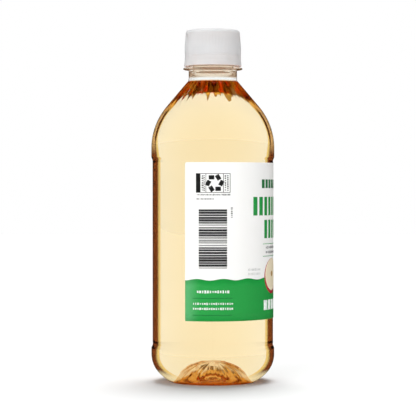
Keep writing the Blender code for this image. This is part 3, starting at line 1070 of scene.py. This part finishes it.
def sign_tree():
    """Blocks set round a circle and turned to follow it, flat on the film."""
    tree, given = new_tree(
        "sign_ring", Count=6, Middle=(0.0, 0.0, 0.0), Radius=0.004, Size=(0.003, 0.00003, 0.002),
        Twist=0.0,
    )
    ring = add_node(tree, "GeometryNodeMeshCircle", (given["Count"], given["Radius"]))
    ring = add_node(tree, "GeometryNodeTransform", {"Geometry": ring, "Rotation": (math.pi / 2, 0, 0)})
    spot = add_node(tree, "ShaderNodeSeparateXYZ", (add_node(tree, "GeometryNodeInputPosition"),)).outputs
    facing = add_node(tree, "ShaderNodeMath", (spot["X"], spot["Z"]), operation="ARCTAN2")
    facing = add_node(tree, "ShaderNodeMath", (facing, given["Twist"]), operation="ADD")
    turn = add_node(tree, "ShaderNodeCombineXYZ", {"Y": facing})
    block = add_node(tree, "GeometryNodeMeshCube", (given["Size"], 3, 2, 2))
    blocks = add_node(tree, "GeometryNodeInstanceOnPoints", {
        "Points": ring, "Instance": block, "Rotation": turn,
    })
    blocks = add_node(tree, "GeometryNodeTransform", {"Geometry": blocks, "Translation": given["Middle"]})
    return end_tree(tree, given, blocks)


def disc_tree():
    """Round spots of ink along a line, flat on the film."""
    tree, given = new_tree(
        "row_of_discs", Count=1, Start=(0.0, 0.0, 0.0), Step=(0.01, 0.0, 0.0), Radius=0.004,
        Thickness=0.00003,
    )
    spots = add_node(tree, "GeometryNodeMeshLine", {
        "Count": given["Count"], "Start Location": given["Start"], "Offset": given["Step"],
    }, mode="OFFSET")
    disc = add_node(tree, "GeometryNodeMeshCylinder", (
        DISC_SIDES, 1, DISC_RINGS, given["Radius"], given["Thickness"],
    ))
    discs = add_node(tree, "GeometryNodeInstanceOnPoints", {
        "Points": spots, "Instance": disc, "Rotation": (math.pi / 2, 0, 0),
    })
    return end_tree(tree, given, discs)


sign_ring = sign_tree()
row_of_discs = disc_tree()

# %% [markdown]
# The coloured band along the foot of the label has a soft wave for its upper edge. It is a flat grid
# whose top row follows a cosine, given a thickness and wrapped like the rest.

# %% Waved band
BAND_COLUMNS = 420
BAND_ROWS = 6


def band_tree():
    """A thin slab between two places round the bottle, with a waved and slightly rising top."""
    tree, given = new_tree(
        "waved_band", Left=0.0, Right=0.1, Low=0.0, High=0.02, Rise=0.0, Wave=0.0005, Pitch=0.014,
        Crest=0.0, Thickness=0.00003,
    )
    grid = add_node(tree, "GeometryNodeMeshGrid", (1.0, 1.0, BAND_COLUMNS, BAND_ROWS))
    flat = add_node(tree, "ShaderNodeSeparateXYZ", (add_node(tree, "GeometryNodeInputPosition"),)).outputs
    along = add_node(tree, "ShaderNodeMapRange", (flat["X"], -0.5, 0.5, given["Left"], given["Right"]))
    past_crest = add_node(tree, "ShaderNodeMath", (along, given["Crest"]), operation="SUBTRACT")
    waves = add_node(tree, "ShaderNodeMath", (past_crest, given["Pitch"]), operation="DIVIDE")
    phase = add_node(tree, "ShaderNodeMath", (waves, TAU), operation="MULTIPLY")
    swing = add_node(tree, "ShaderNodeMath", (phase,), operation="COSINE")
    waved = add_node(tree, "ShaderNodeMath", (
        swing, given["Wave"], given["High"],
    ), operation="MULTIPLY_ADD")
    past_left = add_node(tree, "ShaderNodeMath", (along, given["Left"]), operation="SUBTRACT")
    edge = add_node(tree, "ShaderNodeMath", (past_left, given["Rise"], waved), operation="MULTIPLY_ADD")
    height = add_node(tree, "ShaderNodeMapRange", (flat["Y"], -0.5, 0.5, given["Low"], edge))
    stood = add_node(tree, "ShaderNodeCombineXYZ", {"X": along, "Y": -PRINT_SINK, "Z": height})
    sheet = add_node(tree, "GeometryNodeSetPosition", {"Geometry": grid, "Position": stood})
    thick = add_node(tree, "ShaderNodeCombineXYZ", {"Y": given["Thickness"]})
    solid = add_node(tree, "GeometryNodeExtrudeMesh", {
        "Mesh": sheet, "Offset": thick, "Offset Scale": 1.0, "Individual": False,
    })
    under = add_node(tree, "GeometryNodeFlipFaces", {"Mesh": sheet})
    both = add_node(tree, "GeometryNodeJoinGeometry")
    tree.links.new(solid.outputs[0], both.inputs[0])
    tree.links.new(under.outputs[0], both.inputs[0])
    closed = add_node(tree, "GeometryNodeMergeByDistance", {"Geometry": both, "Distance": 1e-7})
    return end_tree(tree, given, closed)


waved_band = band_tree()

# %% [markdown]
# ## Laying out the print
# Places are millimetres round the bottle from its front (u) and heights above the table (z). The left
# panel has a framed sign, a price code and small words. The main panel is centred on the right side.

# %% Layout helpers
print_pieces = []
CURVE_STEP = 1.2


def add_print(name, mesh):
    """Makes a printed piece of a mesh and notes it for the end."""
    print_pieces.append(add_piece(name, mesh))


def blocks(name, material, left, right, low, high, thickness=PRINT_T, **extra):
    """One block, or the first of a row, between two places in millimetres."""
    size = ((right - left) * MM, thickness + PRINT_SINK, (high - low) * MM)
    start = ((left + right) / 2 * MM, (thickness - PRINT_SINK) / 2, (low + high) / 2 * MM)
    slices = max(2, math.ceil((right - left) / CURVE_STEP) + 1)
    add_print(name, grow(name, row_of_blocks, material, Start=start, Size=size, Slices=slices, **extra))


def words(name, material, left, right, low, high, letter, thickness=PRINT_T, seed=1):
    """A row of small blocks of uneven width that reads as a line of small print."""
    count = max(1, int((right - left) / letter))
    pitch = (right - left) / count
    blocks(
        name, material, left, left + pitch, low, high, thickness, Count=count, Step=(pitch * MM, 0.0, 0.0),
        Shrink_Low=(0.35, 1.0, 0.6), Shrink_High=(0.85, 1.0, 1.0), Seed=seed,
    )


def field_outline(name, material, left, right, low, high, line):
    """Four lines round a field."""
    blocks(name + "_foot", material, left, right, low, low + line)
    blocks(name + "_head", material, left, right, high - line, high)
    blocks(name + "_left", material, left, left + line, low, high)
    blocks(name + "_right", material, right - line, right, low, high)


# %% [markdown]
# The band is one sheet of ink along the foot of the whole label, a hair inside the film's edges. Its
# upper edge rises slightly from left to right.

# %% Green band
BAND_MARGIN = 0.01 * MM
BAND_TOP = 56.2
BAND_RISE = 0.004
BAND_WAVE = 0.42
BAND_PITCH = 13.9
BAND_CREST = 5.4
add_print("green_band", grow(
    "green_band", waved_band, band_ink, Left=low_u + BAND_MARGIN, Right=high_u - BAND_MARGIN,
    Low=LABEL_BOTTOM_Z + BAND_MARGIN, High=BAND_TOP * MM, Rise=BAND_RISE, Wave=BAND_WAVE * MM,
    Pitch=BAND_PITCH * MM, Crest=BAND_CREST * MM, Thickness=PRINT_T + PRINT_SINK,
))

# %% [markdown]
# The sign on the left panel is a frame with a dark bar, two rules, a ring of blocks and columns of tiny
# words. An image texture would be quicker, but plain blocks stay sharp at any distance.

# %% Framed sign of the left panel
SIGN_LEFT, SIGN_RIGHT, SIGN_LOW, SIGN_HIGH = -9.0, 9.2, 101.6, 111.7
SIGN_LINE = 0.28
SIGN_BAR = 2.4
SIGN_RULES = (("left", -3.7), ("right", 5.45))
SIGN_RING_U, SIGN_RING_Z, SIGN_RING_R = 0.95, 106.6, 3.45
SIGN_RING_BLOCK = (2.9, 2.2)
SIGN_RING_TWIST = 0.5
SIGN_COLUMNS = ((-6.0, -4.9, 7), (-4.9, -4.2, 9), (6.1, 6.9, 7), (7.3, 8.3, 9))
SIGN_MARGIN = 0.8
field_outline("sign_frame", black_ink, SIGN_LEFT, SIGN_RIGHT, SIGN_LOW, SIGN_HIGH, SIGN_LINE)
blocks("sign_bar", black_ink, SIGN_LEFT, SIGN_LEFT + SIGN_BAR, SIGN_LOW, SIGN_HIGH)
for name, where in SIGN_RULES:
    half = SIGN_LINE / 2
    blocks("sign_rule_" + name, black_ink, where - half, where + half, SIGN_LOW, SIGN_HIGH)
add_print("sign_ring", grow(
    "sign_ring", sign_ring, black_ink, Count=6, Radius=SIGN_RING_R * MM, Twist=SIGN_RING_TWIST,
    Middle=(SIGN_RING_U * MM, (PRINT_T - PRINT_SINK) / 2, SIGN_RING_Z * MM),
    Size=(SIGN_RING_BLOCK[0] * MM, PRINT_T + PRINT_SINK, SIGN_RING_BLOCK[1] * MM),
))
for k, (left, right, rows) in enumerate(SIGN_COLUMNS):
    low = SIGN_LOW + SIGN_MARGIN
    step = (SIGN_HIGH - SIGN_LOW - 2 * SIGN_MARGIN) / rows
    blocks(
        f"sign_words_{k}", grey_ink, left, right, low, low + step, Count=rows,
        Step=(0.0, 0.0, step * MM), Shrink_Low=(0.7, 1.0, 0.35), Shrink_High=(1.0, 1.0, 0.8), Seed=k,
    )
words("sign_note_1", grey_ink, -8.7, 9.2, 100.1, 101.0, 0.75, seed=5)
words("sign_note_2", grey_ink, -8.7, 0.4, 97.9, 98.8, 0.75, seed=6)

# %% [markdown]
# A price code is only uneven dark bars in a column. Black bars and grey bars are two columns of the
# same tree with different seeds, which gives the soft, close look of fine bars at this scale.

# %% Price code
CODE_LEFT, CODE_RIGHT, CODE_LOW, CODE_HIGH = -7.5, 7.4, 61.7, 93.1
CODE_BARS = 24
CODE_PROUD = 0.004 * MM
code_step = (CODE_HIGH - CODE_LOW) / CODE_BARS
for name, material, seed, thin, fat, first, count, thickness in (
    ("black", black_ink, 3, 0.08, 0.85, 0.0, CODE_BARS, PRINT_T + CODE_PROUD),
    ("grey", dull_ink, 8, 0.0, 0.45, 0.5, CODE_BARS - 1, PRINT_T),
):
    low = CODE_LOW + first * code_step
    blocks(
        "code_" + name, material, CODE_LEFT, CODE_RIGHT, low, low + code_step, thickness,
        Count=count, Step=(0.0, 0.0, code_step * MM), Seed=seed,
        Shrink_Low=(1.0, 1.0, thin), Shrink_High=(1.0, 1.0, fat),
    )
blocks(
    "code_note", grey_ink, 9.4, 10.5, 88.4, 89.3, Count=6, Step=(0.0, 0.0, 0.95 * MM),
    Shrink_Low=(0.6, 1.0, 0.4), Shrink_High=(1.0, 1.0, 0.8), Seed=2,
)
for k, z in enumerate((58.3, 60.5)):
    words(f"side_note_{k}", pale_ink, 19.4, 28.5, z, z + 1.4, 0.8, seed=20 + k)

# %% [markdown]
# The main panel reads the same from both sides of its middle: two rows of heading blocks, a small row
# above them, two rules with fine print between, and pale figures on the band.

# %% Main panel
MAIN_U = 54.0


def mirrored_row(name, material, first, low, high, width, gap, thickness=PRINT_T):
    """Equal blocks from a place to its mirror image in the middle of the main panel."""
    span = 2 * (MAIN_U - first)
    count = max(1, round((span + gap) / (width + gap)))
    pitch = (span + gap) / count
    blocks(
        name, material, first, first + pitch - gap, low, high, thickness,
        Count=count, Step=(pitch * MM, 0.0, 0.0),
    )


mirrored_row("heading_1", leaf_ink, 23.05, 89.6, 99.4, 3.1, 1.5)
mirrored_row("heading_2", leaf_ink, 32.1, 77.5, 87.2, 3.1, 1.5)
mirrored_row("crown_mark", deep_ink, 29.8, 104.0, 108.6, 2.6, 0.9)
for k, z in enumerate((74.5, 68.0)):
    blocks(f"main_rule_{k}", leaf_ink, 30.75, 2 * MAIN_U - 30.75, z - 0.15, z + 0.15)
for k, z in enumerate((69.3, 71.8)):
    words(f"main_note_{k}", grey_ink, 33.5, 2 * MAIN_U - 33.5, z, z + 1.5, 1.5, seed=30 + k)
mirrored_row("band_figures", white_ink, 31.6, 39.5, 44.8, 3.4, 1.0, OVERPRINT_T)

# %% [markdown]
# Two round spots stand on the top edge of the band. Each is three discs of ink, one on another, and each
# disc's ink stands a little higher than the one below, as where inks are printed in turn.

# %% Round spots
SPOT_U, SPOT_Z, SPOT_R = 41.7, 57.3, 9.5
SPOT_STEP = 2 * (MAIN_U - SPOT_U)
for name, material, radius, raised, ink_top in (
    ("skin", red_ink, SPOT_R, 0.0, 0.046),
    ("flesh", cream_ink, SPOT_R - 0.9, 0.85, 0.066),
    ("core", gold_ink, 1.5, 1.2, 0.086),
):
    start = (SPOT_U * MM, (ink_top * MM - PRINT_SINK) / 2, (SPOT_Z + raised) * MM)
    add_print("spot_" + name, grow(
        "spot_" + name, row_of_discs, material, Count=2, Start=start, Step=(SPOT_STEP * MM, 0.0, 0.0),
        Radius=radius * MM, Thickness=ink_top * MM + PRINT_SINK,
    ))

# %% [markdown]
# The words on the band are printed over its green, so their ink stands higher than the band's.

# %% Words on the band
words("band_title", white_ink, -8.7, 8.7, 49.1, 50.8, 1.3, OVERPRINT_T, seed=39)
for k, z in enumerate((46.6, 37.7)):
    blocks(f"band_rule_{k}", deep_ink, -10.9, 10.3, z - 0.14, z + 0.14, OVERPRINT_T)
for k, z in enumerate((43.7, 41.1)):
    words(f"band_words_{k}", white_ink, -10.9, 10.8, z - 0.65, z + 0.65, 1.15, OVERPRINT_T, seed=40 + k)

# %% [markdown]
# The far panel gets what such labels have there: a framed field of fine print. Its lines end at uneven
# places, as lines of type do.

# %% Back panel
BACK_LEFT, BACK_RIGHT = 88.5, 103.0
BACK_LOW, BACK_HIGH = 66.0, 106.0
BACK_MARGIN = 1.5
BACK_LINES = 13
BACK_PITCH = 2.85
field_outline("back_frame", black_ink, BACK_LEFT, BACK_RIGHT, BACK_LOW, BACK_HIGH, 0.25)
for k in range(BACK_LINES):
    z = BACK_LOW + 2.0 + BACK_PITCH * k
    left = BACK_LEFT + BACK_MARGIN
    length = (BACK_RIGHT - BACK_LEFT - 2 * BACK_MARGIN) * (0.55 + 0.45 * abs(math.cos(2.4 * k)))
    words(f"back_words_{k}", grey_ink, left, left + length, z, z + 1.1, 0.9, seed=60 + k)
words("back_band_words", white_ink, BACK_LEFT, BACK_RIGHT, 43.0, 44.2, 1.2, OVERPRINT_T, seed=80)
print("print pieces:", len(print_pieces))

# %% [markdown]
# ## Floor, light and camera
# A pale clear bottle is shot in a bright field: a white background and a white table, both evenly lit,
# with the room in front kept dark so that nothing mirrors on the plastic. Reflected rays therefore see
# a nearly black room, and rays that pass through see the white. Three wide soft lights, one overhead and
# two low in front, shape the cap, the label and the shadow under the foot.
#
# The bottle also gathers light under its own foot, an amber glow on the table that path tracing through
# clear plastic doesn't find. It's given to the table there, where only rays through the base meet it.

# %% Floor
FLOOR_HALF = 3.0
FLOOR_DROP = 0.03 * MM
MIRRORED_SHARE = 0.012
CAUSTIC = linear("#ffad59")
CAUSTIC_STRENGTH = 1.5
floor_mesh = bpy.data.meshes.new("floor")
corners = [(x, y, -FLOOR_DROP) for x in (-FLOOR_HALF, FLOOR_HALF) for y in (-FLOOR_HALF, FLOOR_HALF)]
floor_mesh.from_pydata(corners, [], [(0, 2, 3, 1)])
floor = bpy.data.objects.new("floor", floor_mesh)
bpy.context.scene.collection.objects.link(floor)
table, tree, place = new_material("white_table")
# Painted reflection: where the table is seen mirrored in the plastic it is painted nearly black.
path = add_node(tree, "ShaderNodeLightPath").outputs
mirrored = add_node(
    tree, "ShaderNodeMath", (path["Is Glossy Ray"], path["Is Transmission Ray"]), operation="SUBTRACT",
)
seen = add_node(tree, "ShaderNodeMix", {
    0: mirrored, 6: linear("#f4f4f4"), 7: (MIRRORED_SHARE, MIRRORED_SHARE, MIRRORED_SHARE, 1.0),
}, data_type="RGBA")
flat = add_node(tree, "ShaderNodeVectorMath", (place, (1.0, 1.0, 0.0)), operation="MULTIPLY")
off_axis = add_node(tree, "ShaderNodeVectorMath", (flat,), operation="LENGTH").outputs["Value"]
under_foot = add_node(tree, "ShaderNodeMapRange", (
    off_axis, FOOT_R - FOOT_LAND, FOOT_R, CAUSTIC_STRENGTH, 0.0,
), interpolation_type=EASED)
surface(
    tree, Base_Color=seen.outputs[2], Roughness=0.8, Specular_IOR_Level=0.0, Emission_Color=CAUSTIC,
    Emission_Strength=under_foot,
)
floor_mesh.materials.append(table)

# %% [markdown]
# The world is the bright field. Its strength depends on what a ray has met: full for rays that pass
# through the bottle, low for light on the label and cap, and nearly nothing for reflections. Lamps and
# white cards would give the same, but only from the side that they were set up for.

# %% World
FILL = 0.24
BRIGHT_FIELD = 1.05
THROUGH_TO_FLOOR = 0.08
world = bpy.data.worlds.new("studio")
bpy.context.scene.world = world
world.use_nodes = True
sky = world.node_tree
sky.nodes.clear()
ray = add_node(sky, "ShaderNodeLightPath").outputs
reached_floor = add_node(sky, "ShaderNodeMath", (ray["Diffuse Depth"], 0.5), operation="GREATER_THAN")
field = add_node(sky, "ShaderNodeMix", {0: reached_floor, 2: BRIGHT_FIELD, 3: THROUGH_TO_FLOOR})
strength = ray["Is Camera Ray"]
for kind, share in (
    ("Is Transmission Ray", field), ("Is Glossy Ray", MIRRORED_SHARE), ("Is Diffuse Ray", FILL),
):
    strength = add_node(sky, "ShaderNodeMath", (ray[kind], share, strength), operation="MULTIPLY_ADD")
backdrop = add_node(sky, "ShaderNodeBackground", {"Color": linear("#ffffff"), "Strength": strength})
add_node(sky, "ShaderNodeOutputWorld", {"Surface": backdrop})

# %% [markdown]
# A sun with a wide angle is a soft light that reaches every piece alike, wherever it stands. None of the
# three is mirrored in the bottle or seen through it.

# %% Soft lights
def soft_light(name, strength, elevation, azimuth, width):
    """A wide soft light that is not itself mirrored in the bottle or seen through it."""
    data = bpy.data.lights.new(name, "SUN")
    data.energy = strength
    data.angle = math.radians(width)
    light = bpy.data.objects.new(name, data)
    light.rotation_euler = (math.radians(90 - elevation), 0, math.radians(azimuth))
    light.visible_glossy = False
    light.visible_transmission = False
    bpy.context.scene.collection.objects.link(light)
    print(name, "at", elevation, "degrees, strength", strength)


soft_light("overhead_light", strength=2.5, elevation=73, azimuth=172, width=36)
soft_light("front_light", strength=2.6, elevation=8, azimuth=-30, width=60)
soft_light("right_light", strength=0.8, elevation=8, azimuth=55, width=60)

# %% [markdown]
# The photo was taken from about the middle of the bottle's height, with a long lens from a metre away or
# less. The path tracer needs many bounces here, because a ray crosses up to a dozen skins of plastic.

# %% Camera
CAMERA_LENS_MM = 148.8
CAMERA_PLACE = (-2.6 * MM, -927 * MM, 103 * MM)
CAMERA_DIP = 0.6
scene = bpy.context.scene
camera_data = bpy.data.cameras.new("camera")
camera_data.lens = CAMERA_LENS_MM
camera_data.sensor_width = 36.0
camera_data.clip_start = 0.01
camera = bpy.data.objects.new("camera", camera_data)
camera.location = CAMERA_PLACE
camera.rotation_euler = (math.radians(90 - CAMERA_DIP), 0.0, 0.0)
scene.collection.objects.link(camera)
scene.camera = camera
print("camera", round(-CAMERA_PLACE[1] / MM), "mm in front, lens", CAMERA_LENS_MM, "mm")
scene.view_settings.view_transform = "Standard"
scene.cycles.max_bounces = 40
scene.cycles.transmission_bounces = 36
scene.cycles.glossy_bounces = 12
scene.cycles.diffuse_bounces = 4
scene.cycles.blur_glossy = 0.0

# %% [markdown]
# ## Joining the frame
# Each piece rides the one body, and the CAD node that it replaces is hidden. The print belongs to the
# label.

# %% Ride the frame
pieces = {
    bottle: ("bottle", "clear_pet"),
    vinegar: ("vinegar", "vinegar"),
    cap: ("cap", "white_polypropylene"),
    label: ("label", "label_film"),
    **{piece: ("label", "label_film") for piece in print_pieces},
}
for piece, (node_name, slot_name) in pieces.items():
    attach(piece, "root")
    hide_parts(node_name)
